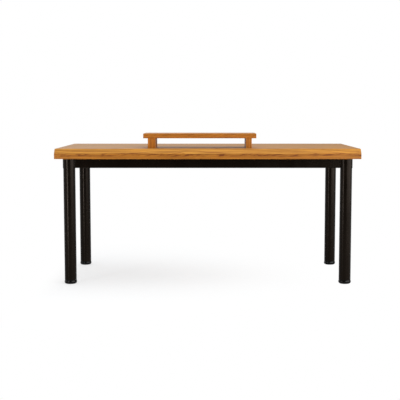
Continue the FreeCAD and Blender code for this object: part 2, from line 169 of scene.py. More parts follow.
def oiledPine(name, grain):
    material, tree, shader = newMaterial(name)
    place = addNode(tree, "ShaderNodeTexCoord")
    turned = addNode(tree, "ShaderNodeMapping", {
        "Location": grain["shift"], "Rotation": grain["turn"], "Vector": place.outputs["Object"]})
    spot = addNode(tree, "ShaderNodeSeparateXYZ", {0: turned})

    # which stave, and what chance gives it
    count = addNode(tree, "ShaderNodeMath", {
        "operation": "DIVIDE", 0: spot.outputs["Y"], 1: grain["staveWidth"]})
    stave = addNode(tree, "ShaderNodeMath", {"operation": "FLOOR", 0: count})
    label = addNode(tree, "ShaderNodeMath", {"operation": "ADD", 0: stave, 1: grain["seed"]})
    chance = addNode(tree, "ShaderNodeTexWhiteNoise", {"noise_dimensions": "1D", "W": label})
    draws = addNode(tree, "ShaderNodeSeparateColor", {0: chance.outputs["Color"]})
    cutFrom = addNode(tree, "ShaderNodeMath", {
        "operation": "MULTIPLY", 0: draws.outputs["Red"], 1: pine["cutApart"]})
    cutPlace = addNode(tree, "ShaderNodeCombineXYZ", {"X": cutFrom})
    own = addNode(tree, "ShaderNodeVectorMath", {"operation": "ADD", 0: turned, 1: cutPlace})

    # slow wander of the log; a place is divided by a grain's size, so the noise itself has scale 1
    driftPlace = addNode(tree, "ShaderNodeVectorMath", {
        "operation": "DIVIDE", 0: own, 1: pine["driftGrain"]})
    drift = addNode(tree, "ShaderNodeTexNoise", {
        "Scale": 1.0, "Detail": pine["driftDetail"], "Vector": driftPlace})
    swing = addNode(tree, "ShaderNodeVectorMath", {
        "operation": "SUBTRACT", 0: drift.outputs["Color"], 1: pine["noiseMiddle"]})
    bent = addNode(tree, "ShaderNodeVectorMath", {
        "operation": "MULTIPLY_ADD", 0: swing, 1: pine["driftReach"], 2: turned})

    # distance from the heart of the stave's log
    middle = addNode(tree, "ShaderNodeMath", {
        "operation": "MULTIPLY_ADD", 0: stave, 1: grain["staveWidth"], 2: grain["staveWidth"] / 2})
    heartAside = addNode(tree, "ShaderNodeMapRange", {
        "Value": draws.outputs["Green"], "To Min": -grain["heartSpread"], "To Max": grain["heartSpread"]})
    heartAcross = addNode(tree, "ShaderNodeMath", {"operation": "ADD", 0: middle, 1: heartAside})
    heartDeep = addNode(tree, "ShaderNodeMapRange", {
        "Value": draws.outputs["Blue"], "To Min": pine["heartDepth"][0], "To Max": pine["heartDepth"][1]})
    heart = addNode(tree, "ShaderNodeCombineXYZ", {"Y": heartAcross, "Z": heartDeep})
    fromHeart = addNode(tree, "ShaderNodeVectorMath", {"operation": "SUBTRACT", 0: bent, 1: heart})
    section = addNode(tree, "ShaderNodeVectorMath", {
        "operation": "MULTIPLY", 0: fromHeart, 1: pine["acrossLog"]})
    radius = addNode(tree, "ShaderNodeVectorMath", {"operation": "LENGTH", 0: section})
    tapered = addNode(tree, "ShaderNodeMath", {
        "operation": "MULTIPLY_ADD", 0: spot.outputs["X"], 1: pine["logTaper"], 2: radius.outputs["Value"]})

    # growth rings, uneven from year to year and along the grain
    streakPlace = addNode(tree, "ShaderNodeVectorMath", {
        "operation": "DIVIDE", 0: own, 1: pine["streakGrain"]})
    streak = addNode(tree, "ShaderNodeTexNoise", {
        "Scale": 1.0, "Detail": pine["streakDetail"], "Roughness": pine["grainRoughness"],
        "Vector": streakPlace})
    ownYears = addNode(tree, "ShaderNodeMath", {
        "operation": "MULTIPLY_ADD", 0: label, 1: pine["ringStep"], 2: tapered})
    weather = addNode(tree, "ShaderNodeTexNoise", {
        "noise_dimensions": "1D", "Scale": 1 / pine["unevenYears"], "Detail": fineDetail, "W": ownYears})
    grown = addNode(tree, "ShaderNodeMath", {
        "operation": "MULTIPLY_ADD", 0: weather, 1: pine["ringUneven"], 2: tapered})
    rings = addNode(tree, "ShaderNodeMath", {"operation": "DIVIDE", 0: grown, 1: pine["ringSpacing"]})
    uneven = addNode(tree, "ShaderNodeMath", {
        "operation": "MULTIPLY_ADD", 0: streak, 1: pine["ringWander"], 2: rings})
    phase = addNode(tree, "ShaderNodeMath", {"operation": "FRACT", 0: uneven})
    late = addNode(tree, "ShaderNodeValToRGB", {"stops": pine["ringProfile"], 0: phase})
    ringNumber = addNode(tree, "ShaderNodeMath", {"operation": "FLOOR", 0: uneven})
    ringLabel = addNode(tree, "ShaderNodeMath", {
        "operation": "MULTIPLY_ADD", 0: label, 1: pine["ringStep"], 2: ringNumber})
    ringChance = addNode(tree, "ShaderNodeTexWhiteNoise", {"noise_dimensions": "1D", "W": ringLabel})
    ringForce = addNode(tree, "ShaderNodeMapRange", {
        "Value": ringChance, "To Min": pine["ringForce"][0], "To Max": pine["ringForce"][1]})
    lateWood = addNode(tree, "ShaderNodeMath", {"operation": "MULTIPLY", 0: late, 1: ringForce})

    # short dark flames, gathered along the line between heart and sapwood and in a few bands
    slanted = addNode(tree, "ShaderNodeMapping", {"Rotation": (0, pine["flameSlant"], 0), "Vector": own})
    flamePlace = addNode(tree, "ShaderNodeVectorMath", {
        "operation": "DIVIDE", 0: slanted, 1: pine["flameGrain"]})
    flameNoise = addNode(tree, "ShaderNodeTexNoise", {
        "Scale": 1.0, "Detail": pine["flameDetail"], "Roughness": pine["grainRoughness"],
        "Vector": flamePlace})
    flame = addNode(tree, "ShaderNodeMapRange", {
        "interpolation_type": "SMOOTHSTEP", "Value": flameNoise, "From Min": pine["flameEdge"][0],
        "From Max": pine["flameEdge"][1], "To Max": pine["flameForce"]})
    bandPlace = addNode(tree, "ShaderNodeVectorMath", {"operation": "DIVIDE", 0: own, 1: pine["flameBand"]})
    bandNoise = addNode(tree, "ShaderNodeTexNoise", {
        "Scale": 1.0, "Detail": fineDetail, "Vector": bandPlace})
    band = addNode(tree, "ShaderNodeMapRange", {
        "interpolation_type": "SMOOTHSTEP", "Value": bandNoise, "From Min": pine["bandEdge"][0],
        "From Max": pine["bandEdge"][1], "To Max": pine["bandForce"]})
    depth = addNode(tree, "ShaderNodeSeparateXYZ", {0: bent})
    aboveHeart = addNode(tree, "ShaderNodeMath", {
        "operation": "SUBTRACT", 0: depth.outputs["Z"], 1: grain["heartLine"]})
    fromSeam = addNode(tree, "ShaderNodeMath", {"operation": "ADD", 0: aboveHeart, 1: pine["seamDepth"]})
    seamGap = addNode(tree, "ShaderNodeMath", {"operation": "ABSOLUTE", 0: fromSeam})
    seam = addNode(tree, "ShaderNodeMapRange", {
        "interpolation_type": "SMOOTHSTEP", "Value": seamGap, "From Min": pine["seamReach"][0],
        "From Max": pine["seamReach"][1], "To Min": grain["seam"], "To Max": 0.0})
    gathered = addNode(tree, "ShaderNodeMath", {"operation": "ADD", 0: band, 1: seam, "use_clamp": True})

    # flames and reddish streaks run along the grain, so end grain shows neither
    lengthwise = addNode(tree, "ShaderNodeVectorMath", {
        "operation": "DOT_PRODUCT", 0: place.outputs["Normal"], 1: grain["axis"]})
    facing = addNode(tree, "ShaderNodeMath", {"operation": "ABSOLUTE", 0: lengthwise.outputs["Value"]})
    longSide = addNode(tree, "ShaderNodeMapRange", {
        "Value": facing, "From Min": pine["endEdge"][0], "From Max": pine["endEdge"][1], "To Min": 1.0,
        "To Max": 0.0})
    reddish = addNode(tree, "ShaderNodeMapRange", {
        "interpolation_type": "SMOOTHSTEP", "Value": streak, "From Min": pine["streakEdge"][0],
        "From Max": pine["streakEdge"][1], "To Min": pine["streakForce"], "To Max": 0.0})
    marks = addNode(tree, "ShaderNodeMath", {
        "operation": "MULTIPLY_ADD", 0: flame, 1: gathered, 2: reddish})
    sideMarks = addNode(tree, "ShaderNodeMath", {"operation": "MULTIPLY", 0: marks, 1: longSide})
    darkShare = addNode(tree, "ShaderNodeMath", {
        "operation": "MAXIMUM", 0: lateWood, 1: sideMarks, "use_clamp": True})

    # earlywood of the stave, then what is dark in it
    heartRed = addNode(tree, "ShaderNodeMapRange", {
        "interpolation_type": "SMOOTHSTEP", "Value": aboveHeart, "From Min": -pine["heartEdge"],
        "From Max": pine["heartEdge"], "To Min": grain["red"][0], "To Max": grain["red"][1]})
    redness = addNode(tree, "ShaderNodeMath", {
        "operation": "MULTIPLY_ADD", 0: draws.outputs["Blue"], 1: pine["staveRed"], 2: heartRed})
    early = addNode(tree, "ShaderNodeMix", {
        "data_type": "RGBA", 0: redness, mixA: hexColour(pine["pale"]), mixB: hexColour(pine["heartRed"])})
    body = addNode(tree, "ShaderNodeMix", {
        "data_type": "RGBA", 0: darkShare, mixA: early.outputs[mixed], mixB: hexColour(pine["dark"])})

    # lighter and darker tones on top: streaks, fibres, staves and end grain
    fibrePlace = addNode(tree, "ShaderNodeVectorMath", {
        "operation": "DIVIDE", 0: own, 1: pine["fibreGrain"]})
    fibre = addNode(tree, "ShaderNodeTexNoise", {
        "Scale": 1.0, "Detail": pine["fibreDetail"], "Vector": fibrePlace})
    low, high = noiseReach
    streakTone = addNode(tree, "ShaderNodeMapRange", {
        "Value": streak, "From Min": low, "From Max": high, "To Min": pine["streakTone"][0],
        "To Max": pine["streakTone"][1]})
    fibreTone = addNode(tree, "ShaderNodeMapRange", {
        "Value": fibre, "From Min": low, "From Max": high, "To Min": pine["fibreTone"][0],
        "To Max": pine["fibreTone"][1]})
    staveTone = addNode(tree, "ShaderNodeMapRange", {
        "Value": draws.outputs["Green"], "To Min": pine["staveTone"][0] * grain["tone"],
        "To Max": pine["staveTone"][1] * grain["tone"]})
    endTone = addNode(tree, "ShaderNodeMapRange", {
        "Value": longSide, "To Min": pine["endTone"], "To Max": 1.0})
    toneA = addNode(tree, "ShaderNodeMath", {"operation": "MULTIPLY", 0: streakTone, 1: fibreTone})
    toneB = addNode(tree, "ShaderNodeMath", {"operation": "MULTIPLY", 0: staveTone, 1: endTone})
    tone = addNode(tree, "ShaderNodeMath", {"operation": "MULTIPLY", 0: toneA, 1: toneB})

    # glue line where two staves meet
    nearEdge = addNode(tree, "ShaderNodeMath", {"operation": "PINGPONG", 0: count, 1: pine["halfStave"]})
    glue = addNode(tree, "ShaderNodeMapRange", {
        "Value": nearEdge, "From Min": 0.0, "From Max": pine["glueLine"] / grain["staveWidth"],
        "To Min": pine["glueTone"], "To Max": 1.0})
    glued = addNode(tree, "ShaderNodeMath", {"operation": "MULTIPLY", 0: tone, 1: glue})

    # a rounded edge faces none of the flat sides squarely
    sides = addNode(tree, "ShaderNodeVectorMath", {"operation": "ABSOLUTE", 0: place.outputs["Normal"]})
    side = addNode(tree, "ShaderNodeSeparateXYZ", {0: sides})
    bevelSide = addNode(tree, "ShaderNodeVectorMath", {
        "operation": "DOT_PRODUCT", 0: place.outputs["Normal"], 1: pine["bevelFacing"]})
    flatA = addNode(tree, "ShaderNodeMath", {
        "operation": "MAXIMUM", 0: side.outputs["X"], 1: side.outputs["Y"]})
    flatB = addNode(tree, "ShaderNodeMath", {
        "operation": "MAXIMUM", 0: side.outputs["Z"], 1: bevelSide.outputs["Value"]})
    flat = addNode(tree, "ShaderNodeMath", {"operation": "MAXIMUM", 0: flatA, 1: flatB})
    rubbed = addNode(tree, "ShaderNodeMapRange", {
        "Value": flat, "From Min": pine["rubbedEdge"][0], "From Max": pine["rubbedEdge"][1],
        "To Min": pine["rubbedTone"], "To Max": 1.0})
    allTones = addNode(tree, "ShaderNodeMath", {"operation": "MULTIPLY", 0: glued, 1: rubbed})
    toned = addNode(tree, "ShaderNodeVectorMath", {
        "operation": "SCALE", 0: body.outputs[mixed], "Scale": allTones})

    # the latewood stands a little proud and shines a little more
    satin = addNode(tree, "ShaderNodeMapRange", {
        "Value": lateWood, "To Min": pine["roughness"][0], "To Max": pine["roughness"][1]})
    relief = addNode(tree, "ShaderNodeMath", {
        "operation": "MULTIPLY_ADD", 0: fibre, 1: pine["fibreRelief"], 2: lateWood})
    bump = addNode(tree, "ShaderNodeBump", {
        "Strength": pine["reliefForce"], "Distance": pine["reliefDepth"], "Height": relief})
    addNode(tree, shader, {
        "Base Color": toned, "Roughness": satin, "Normal": bump, "Specular IOR Level": pine["shine"],
        "Coat Weight": pine["oilCoat"], "Coat Roughness": pine["oilRoughness"]})
    return material


# Powder coat on steel: sprayed dry and baked, a satin black with a fine orange peel.
# The eye gets a near-black with a soft line of light down each round, and a slight grain in that line.
powder = {
    "black": "0B0704",
    "dusty": "110B06",
    "shine": 0.14,
    "glossTint": "FFEAD9",   # the coat's brown shows in its gloss too
    "roughness": (0.22, 0.30),
    "cloudSize": 0.07,
    "peelSize": 0.0016,      # m, drawn coarser than the real 0.5 mm so that it shows
    "peelDepth": 0.00004,
    "peelForce": 0.4,
}


def blackPowderCoat(name):
    material, tree, shader = newMaterial(name)
    place = addNode(tree, "ShaderNodeTexCoord")
    peel = addNode(tree, "ShaderNodeTexNoise", {
        "Scale": 1 / powder["peelSize"], "Detail": fineDetail, "Vector": place.outputs["Object"]})
    cloud = addNode(tree, "ShaderNodeTexNoise", {
        "Scale": 1 / powder["cloudSize"], "Detail": cloudDetail, "Vector": place.outputs["Object"]})
    colour = addNode(tree, "ShaderNodeMix", {
        "data_type": "RGBA", 0: cloud, mixA: hexColour(powder["black"]), mixB: hexColour(powder["dusty"])})
    satin = addNode(tree, "ShaderNodeMapRange", {
        "Value": cloud, "From Min": noiseReach[0], "From Max": noiseReach[1],
        "To Min": powder["roughness"][0], "To Max": powder["roughness"][1]})
    bump = addNode(tree, "ShaderNodeBump", {
        "Strength": powder["peelForce"], "Distance": powder["peelDepth"], "Height": peel})
    addNode(tree, shader, {
        "Base Color": colour.outputs[mixed], "Roughness": satin, "Normal": bump,
        "Specular IOR Level": powder["shine"], "Specular Tint": hexColour(powder["glossTint"])})
    return material


# Nylon: moulded in a fine-grained tool.
# The eye gets a deep black with a soft shine, faint scuffs in it, and a little floor dust low down.
nylon = {
    "black": "070605",
    "dust": "4A4640",
    "dustHeight": 0.007,     # m above the floor
    "dustShare": 0.05,
    "shine": 0.23,
    "roughness": (0.22, 0.34),
    "scuffSize": 0.006,
    "grainSize": 0.0008,     # m, the tool's real grain of 0.1 mm would not show
    "grainDepth": 0.00003,
    "grainForce": 0.5,
}


def blackNylon(name):
    material, tree, shader = newMaterial(name)
    place = addNode(tree, "ShaderNodeTexCoord")
    spot = addNode(tree, "ShaderNodeSeparateXYZ", {0: place.outputs["Object"]})
    scuff = addNode(tree, "ShaderNodeTexNoise", {
        "Scale": 1 / nylon["scuffSize"], "Detail": cloudDetail, "Vector": place.outputs["Object"]})
    low = addNode(tree, "ShaderNodeMapRange", {
        "Value": spot.outputs["Z"], "From Min": 0.0, "From Max": nylon["dustHeight"],
        "To Min": nylon["dustShare"], "To Max": 0.0})
    dust = addNode(tree, "ShaderNodeMath", {"operation": "MULTIPLY", 0: low, 1: scuff})
    colour = addNode(tree, "ShaderNodeMix", {
        "data_type": "RGBA", 0: dust, mixA: hexColour(nylon["black"]), mixB: hexColour(nylon["dust"])})
    dull = addNode(tree, "ShaderNodeMapRange", {
        "Value": scuff, "From Min": noiseReach[0], "From Max": noiseReach[1],
        "To Min": nylon["roughness"][0], "To Max": nylon["roughness"][1]})
    grain = addNode(tree, "ShaderNodeTexNoise", {
        "Scale": 1 / nylon["grainSize"], "Detail": fineDetail, "Vector": place.outputs["Object"]})
    bump = addNode(tree, "ShaderNodeBump", {
        "Strength": nylon["grainForce"], "Distance": nylon["grainDepth"], "Height": grain})
    addNode(tree, shader, {
        "Base Color": colour.outputs[mixed], "Roughness": dull, "Normal": bump,
        "Specular IOR Level": nylon["shine"]})
    return material


# Small metal parts. Zinc plate is bright with a cloudy blue and straw cast, black oxide is a thin dark skin
# with brown where it is worn, brass is turned and a little tarnished, and bare steel is turned and greyer.
# The eye gets cloudy colour, and fine tool marks round the part that draw the highlight out.
metals = {
    "zinc_plated_steel": {"colour": "C4C9CE", "cast": "B9B4A2", "cloudSize": 0.0025,
                          "roughness": (0.24, 0.36), "markPitch": 0.0005, "markDepth": 0.000006},
    "black_oxide_steel": {"colour": "2A2A2D", "cast": "3B322B", "cloudSize": 0.003,
                          "roughness": (0.36, 0.50), "markPitch": 0.0006, "markDepth": 0.000006},
    "brass": {"colour": "CBA24F", "cast": "96753A", "cloudSize": 0.004,
              "roughness": (0.26, 0.40), "markPitch": 0.0005, "markDepth": 0.00001},
    "plain_steel": {"colour": "9C9DA0", "cast": "7C776F", "cloudSize": 0.009,
                    "roughness": (0.30, 0.46), "markPitch": 0.0008, "markDepth": 0.00001},
}
markForce = 0.5


def turnedMetal(name):
    values = metals[name]
    material, tree, shader = newMaterial(name)
    place = addNode(tree, "ShaderNodeTexCoord")
    cloud = addNode(tree, "ShaderNodeTexNoise", {
        "Scale": 1 / values["cloudSize"], "Detail": cloudDetail, "Vector": place.outputs["Object"]})
    colour = addNode(tree, "ShaderNodeMix", {
        "data_type": "RGBA", 0: cloud, mixA: hexColour(values["colour"]), mixB: hexColour(values["cast"])})
    satin = addNode(tree, "ShaderNodeMapRange", {
        "Value": cloud, "From Min": noiseReach[0], "From Max": noiseReach[1],
        "To Min": values["roughness"][0], "To Max": values["roughness"][1]})
    # tool marks run round the upright parts, so they follow the height
    spot = addNode(tree, "ShaderNodeSeparateXYZ", {0: place.outputs["Object"]})
    marks = addNode(tree, "ShaderNodeTexNoise", {
        "noise_dimensions": "1D", "Scale": 1 / values["markPitch"], "W": spot.outputs["Z"]})
    bump = addNode(tree, "ShaderNodeBump", {
        "Strength": markForce, "Distance": values["markDepth"], "Height": marks})
    addNode(tree, shader, {
        "Base Color": colour.outputs[mixed], "Roughness": satin, "Normal": bump, "Metallic": 1.0})
    return material


# Beech: bare dowel wood, cut round along the grain.
# The eye gets an even pale brown with many short dark flecks along the grain.
beechWood = {
    "pale": "CFA274",
    "fleck": "8E5F3A",
    "fleckGrain": (0.0004, 0.0004, 0.0025),  # m, flecks stand along the upright dowel
    "fleckEdge": (0.60, 0.72),
    "roughness": 0.6,
    "fleckDepth": 0.00003,
    "fleckForce": 0.5,
}


def bareBeech(name):
    material, tree, shader = newMaterial(name)
    place = addNode(tree, "ShaderNodeTexCoord")
    fleckPlace = addNode(tree, "ShaderNodeVectorMath", {
        "operation": "DIVIDE", 0: place.outputs["Object"], 1: beechWood["fleckGrain"]})
    noise = addNode(tree, "ShaderNodeTexNoise", {"Scale": 1.0, "Detail": fineDetail, "Vector": fleckPlace})
    fleck = addNode(tree, "ShaderNodeMapRange", {
        "Value": noise, "From Min": beechWood["fleckEdge"][0], "From Max": beechWood["fleckEdge"][1]})
    colour = addNode(tree, "ShaderNodeMix", {
        "data_type": "RGBA", 0: fleck, mixA: hexColour(beechWood["pale"]),
        mixB: hexColour(beechWood["fleck"])})
    bump = addNode(tree, "ShaderNodeBump", {
        "Strength": beechWood["fleckForce"], "Distance": beechWood["fleckDepth"], "Height": noise})
    addNode(tree, shader, {
        "Base Color": colour.outputs[mixed], "Roughness": beechWood["roughness"], "Normal": bump})
    return material


finishes = {name: turnedMetal(name) for name in metals}
finishes["black_powder_coat"] = blackPowderCoat("black_powder_coat")
finishes["black_nylon"] = blackNylon("black_nylon")
finishes["beech"] = bareBeech("beech")

# Where each wooden piece lies in its log: the first three line it up, the rest choose its staves
woodGrain = {
    "desktop": {"turn": (0, 0, 0), "shift": (0.69, 0.375, -0.6935), "axis": (1, 0, 0),
                "staveWidth": 0.125, "heartSpread": 0.045, "seed": 31, "tone": 0.965,
                "red": (0.55, 0.08), "heartLine": 0.0015, "seam": 1.0},
    "riser_board": {"turn": (0, 0, 0), "shift": (0.31, 0.275, -0.7845), "axis": (1, 0, 0),
                    "staveWidth": 0.2, "heartSpread": 0.03, "seed": 41, "tone": 1.0,
                    "red": (0.85, 0.35), "heartLine": 0.011, "seam": 0.25},
    "riser_left_leg": {"turn": (0, math.pi / 2, 0), "shift": (0.1, 0.3, 0.3), "axis": (0, 0, 1),
                       "staveWidth": 0.25, "heartSpread": 0.03, "seed": 52, "tone": 0.79,
                       "red": (0.70, 0.70), "heartLine": 0.05, "seam": 0.0},
    "riser_right_leg": {"turn": (0, math.pi / 2, 0), "shift": (0.2, 0.3, -0.21), "axis": (0, 0, 1),
                        "staveWidth": 0.25, "heartSpread": 0.03, "seed": 63, "tone": 0.82,
                        "red": (0.70, 0.70), "heartLine": 0.05, "seam": 0.0},
}
for subpart in frame["record"]["subparts"]:
    node = subpart["node"]
    if subpart["material_slot"] == "oiled_wood":
        finish = oiledPine("oiled_pine_" + node, woodGrain[node])
    else:
        finish = finishes[subpart["material_slot"]]
    for slot in nodes[node].material_slots:
        slot.material = finish
print("finishes on the CAD nodes")


nearBy = 0.00001     # m, places closer than this are the same
squarely = 0.99      # how squarely a picked face must look up or down
softAngle = 40       # degrees, edges that turn further stay sharp


def addPrimitive(name, kind, **size):  # its place goes into its mesh at once
    bpy.ops.object.select_all(action="DESELECT")
    getattr(bpy.ops.mesh, "primitive_" + kind + "_add")(**size)
    piece = bpy.context.active_object
    piece.name = name
    bpy.ops.object.transform_apply(location=True, rotation=True, scale=True)
    bpy.ops.object.mode_set(mode="EDIT")
    bpy.ops.mesh.select_mode(type="VERT")
    return piece


def pick(piece, kind, test):  # selects the vertices, edges or faces that pass a test on their middle
    bpy.ops.mesh.select_mode(type={"verts": "VERT", "edges": "EDGE", "faces": "FACE"}[kind])
    bpy.ops.mesh.select_all(action="DESELECT")
    mesh = bmesh.from_edit_mesh(piece.data)
    for part in getattr(mesh, kind):
        middle = part.co if kind == "verts" else sum((v.co for v in part.verts), Vector()) / len(part.verts)
        part.select_set(test(part, middle))
    bmesh.update_edit_mesh(piece.data)


def onlySelect(piece):
    if bpy.context.mode != "OBJECT":
        bpy.ops.object.mode_set(mode="OBJECT")
    bpy.ops.object.select_all(action="DESELECT")
    piece.select_set(True)
    bpy.context.view_layer.objects.active = piece


def applyModifier(piece, modifier):
    onlySelect(piece)
    bpy.ops.object.modifier_apply(modifier=modifier.name)


def copyPiece(piece, name, place, turn=(0, 0, 0)):
    onlySelect(piece)
    bpy.ops.object.duplicate()
    twin = bpy.context.active_object
    twin.name = name
    twin.location = place
    twin.rotation_euler = turn
    bpy.ops.object.transform_apply(location=True, rotation=True, scale=True)
    return twin


def joinPieces(name, pieces):
    onlySelect(pieces[0])
    for piece in pieces:
        piece.select_set(True)
    bpy.ops.object.join()
    pieces[0].name = name
    return pieces[0]


def finishPiece(piece, slot, body, angle=softAngle):
    onlySelect(piece)
    bpy.ops.object.shade_smooth_by_angle(angle=math.radians(angle))
    piece.data.materials.clear()
    piece.data.materials.append(finishes[slot])
    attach(piece, body)


corners = ("front_left", "front_right", "back_left", "back_right")


def legAxis(corner):  # where the leg stands on the floor
    low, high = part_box(corner + "_leg")
    return Vector(((low.x + high.x) / 2, (low.y + high.y) / 2, 0))


# How every thread is wound and cut
threadMaking = {
    "spareTurns": 2,             # at each end, cut off again
    "mergeWithin": 1 / 500,      # pitches, where two turns meet
    "cutWithin": 1 / 10000,      # pitches
}


def threadedRod(name, values, low, high):
    # one turn of the outline, wound up by the Screw modifier and cut off square at both ends
    pitch, spare = values["pitch"], threadMaking["spareTurns"]
    rod = addPrimitive(name, "plane", size=pitch)
    bpy.ops.mesh.merge(type="CENTER")
    bpy.ops.transform.translate(value=(values["root"], 0, low - spare * pitch))
    height = values["crest"] - values["root"]
    flat = pitch * values["flatShare"]
    flank = pitch / 2 - flat
    for out, up in ((0, flat), (height, flank), (0, flat), (-height, flank)):
        bpy.ops.mesh.extrude_region_move(TRANSFORM_OT_translate={"value": (out, 0, up)})
    onlySelect(rod)
    thread = rod.modifiers.new("thread", "SCREW")
    thread.axis = "Z"
    thread.angle = 2 * math.pi
    thread.screw_offset = pitch
    thread.iterations = math.ceil((high - low) / pitch) + 2 * spare
    thread.steps = thread.render_steps = values["sides"]
    applyModifier(rod, thread)
    bpy.ops.object.mode_set(mode="EDIT")
    bpy.ops.mesh.select_all(action="SELECT")
    bpy.ops.mesh.remove_doubles(threshold=pitch * threadMaking["mergeWithin"])
    for level, way in ((low, -1), (high, 1)):
        bpy.ops.mesh.select_all(action="SELECT")
        bpy.ops.mesh.bisect(plane_co=(0, 0, level), plane_no=(0, 0, way), use_fill=True, clear_outer=True,
                            threshold=pitch * threadMaking["cutWithin"])
    bpy.ops.mesh.select_all(action="SELECT")
    bpy.ops.mesh.normals_make_consistent(inside=False)
    onlySelect(rod)
    return rod


# M10 stud of the levelling foot, seen when the foot is screwed out
studThread = {"root": 0.0041, "crest": 0.00495, "pitch": 0.0015, "flatShare": 0.13, "sides": 24}


def makeStuds():
    low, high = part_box("front_left_foot_stud")
    model = threadedRod("stud_model", studThread, low.z, high.z)
    for corner in corners:
        stud = copyPiece(model, corner + "_threaded_stud", legAxis(corner))
        finishPiece(stud, "zinc_plated_steel", corner + "_foot")
        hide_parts(corner + "_foot_stud")
    bpy.data.objects.remove(model)


# Levelling foot: moulded, with a round lower edge, a parting line round its side, a shoulder that draws in
# towards the leg, and grooves in its sole
footPad = {
    "radius": 0.033,
    "sides": 96,
    "lowerRound": 0.010,
    "roundSteps": 10,
    "straightTo": 0.0115,
    # heights and radii
    "shoulder": ((0.01363, 0.03283), (0.01575, 0.03232), (0.01788, 0.03141), (0.020, 0.030)),
    "partingHeight": 0.0108,
    "partingWidth": 0.0004,
    "partingShrink": 0.986,
    "soleRings": (0.003, 0.0025, 0.003, 0.0025, 0.003),   # widths from outside, every second a groove
    "grooveDepth": 0.0012,
    "boreRadius": 0.00515,
    "boreDepth": 0.011,
    "softAngle": 30,
}


def makeFootPads():
    values = footPad
    height, radius = values["straightTo"], values["radius"]
    pad = addPrimitive("pad_model", "cylinder", vertices=values["sides"], radius=radius, depth=height,
                       location=(0, 0, height / 2))
    pick(pad, "edges", lambda edge, middle: all(v.co.z < nearBy for v in edge.verts))
    bpy.ops.mesh.bevel(offset=values["lowerRound"], segments=values["roundSteps"])

    # shoulder, then the bore for the stud
    pick(pad, "faces", lambda face, middle: face.normal.z > squarely)
    width = radius
    for level, reach in values["shoulder"]:
        bpy.ops.mesh.extrude_region_move(TRANSFORM_OT_translate={"value": (0, 0, level - height)})
        bpy.ops.transform.resize(value=(reach / width, reach / width, 1))
        height, width = level, reach
    bpy.ops.mesh.inset(thickness=width - values["boreRadius"])
    bpy.ops.mesh.extrude_region_move(TRANSFORM_OT_translate={"value": (0, 0, -values["boreDepth"])})

    # grooves in the sole
    pick(pad, "faces", lambda face, middle: face.normal.z < -squarely and middle.z < nearBy)
    edge = radius - values["lowerRound"]
    grooves = []
    for number, width in enumerate(values["soleRings"]):
        bpy.ops.mesh.inset(thickness=width)
        if number % 2:
            grooves.append((edge - width, edge))
        edge -= width
    pick(pad, "faces", lambda face, middle: face.normal.z < -squarely and middle.z < nearBy and any(
        inner < middle.to_2d().length < outer for inner, outer in grooves))
    bpy.ops.mesh.extrude_region_move(TRANSFORM_OT_translate={"value": (0, 0, values["grooveDepth"])})

    # parting line of the mould
    line = values["partingHeight"]
    for level in (line - values["partingWidth"], line, line + values["partingWidth"]):
        bpy.ops.mesh.select_all(action="SELECT")
        bpy.ops.mesh.bisect(plane_co=(0, 0, level), plane_no=(0, 0, 1))
    pick(pad, "verts", lambda vertex, middle: (
        abs(middle.z - line) < nearBy and middle.to_2d().length > radius / 2))
    shrink = values["partingShrink"]
    bpy.ops.transform.resize(value=(shrink, shrink, 1))
    onlySelect(pad)
    for corner in corners:
        piece = copyPiece(pad, corner + "_moulded_foot", legAxis(corner))
        finishPiece(piece, "black_nylon", corner + "_foot", values["softAngle"])
        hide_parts(corner + "_foot_pad")
    bpy.data.objects.remove(pad)


# Screws that hold the top: a rounded flange head with a hexagon socket, M6 thread
topScrew = {
    "headRadius": 0.007,
    "headRound": 0.0022,
    "roundSteps": 5,
    "socketWidth": 0.004,    # m across flats
    "socketDepth": 0.0024,
    "threadInside": 0.0011,  # m of the thread inside the head
    "sides": 48,
    "thread": {"root": 0.0024, "crest": 0.00297, "pitch": 0.001, "flatShare": 0.13, "sides": 16},
    "along": (0.220, 0.581),     # from the desk's middle to the screws
    "across": 0.2745,
}

# Bolts that hold the legs: a flat round head with a hexagon socket, M10 thread
legBolt = {
    "headRadius": 0.009,
    "headRound": 0.0012,
    "roundSteps": 5,
    "socketWidth": 0.006,
    "socketDepth": 0.0035,
    "threadInside": 0.0006,
    "sides": 48,
    "thread": {"root": 0.0041, "crest": 0.00495, "pitch": 0.0015, "flatShare": 0.13, "sides": 20},
}


def socketScrew(name, values, headLow, headHigh, tip):
    # the head's socket faces away from the tip
    up = -1 if tip > headHigh else 1
    head = addPrimitive(name, "cylinder", vertices=values["sides"], radius=values["headRadius"],
                        depth=headHigh - headLow, location=(0, 0, (headLow + headHigh) / 2))
    face = headHigh if up > 0 else headLow
    pick(head, "edges", lambda edge, middle: all(abs(v.co.z - face) < nearBy for v in edge.verts))
    bpy.ops.mesh.bevel(offset=values["headRound"], segments=values["roundSteps"])
    onlySelect(head)
    hexagon, cornerRadius = 6, values["socketWidth"] / math.sqrt(3)
    key = addPrimitive(name + "_key", "cylinder", vertices=hexagon, radius=cornerRadius,
                       depth=2 * values["socketDepth"], location=(0, 0, face))
    onlySelect(key)
    cut = head.modifiers.new("socket", "BOOLEAN")
    cut.operation = "DIFFERENCE"
    cut.object = key
    applyModifier(head, cut)
    bpy.data.objects.remove(key)
    inside = values["threadInside"]
    if up > 0:
        rod = threadedRod(name + "_thread", values["thread"], tip, headLow + inside)
    else:
        rod = threadedRod(name + "_thread", values["thread"], headHigh - inside, tip)
    return joinPieces(name, [head, rod])


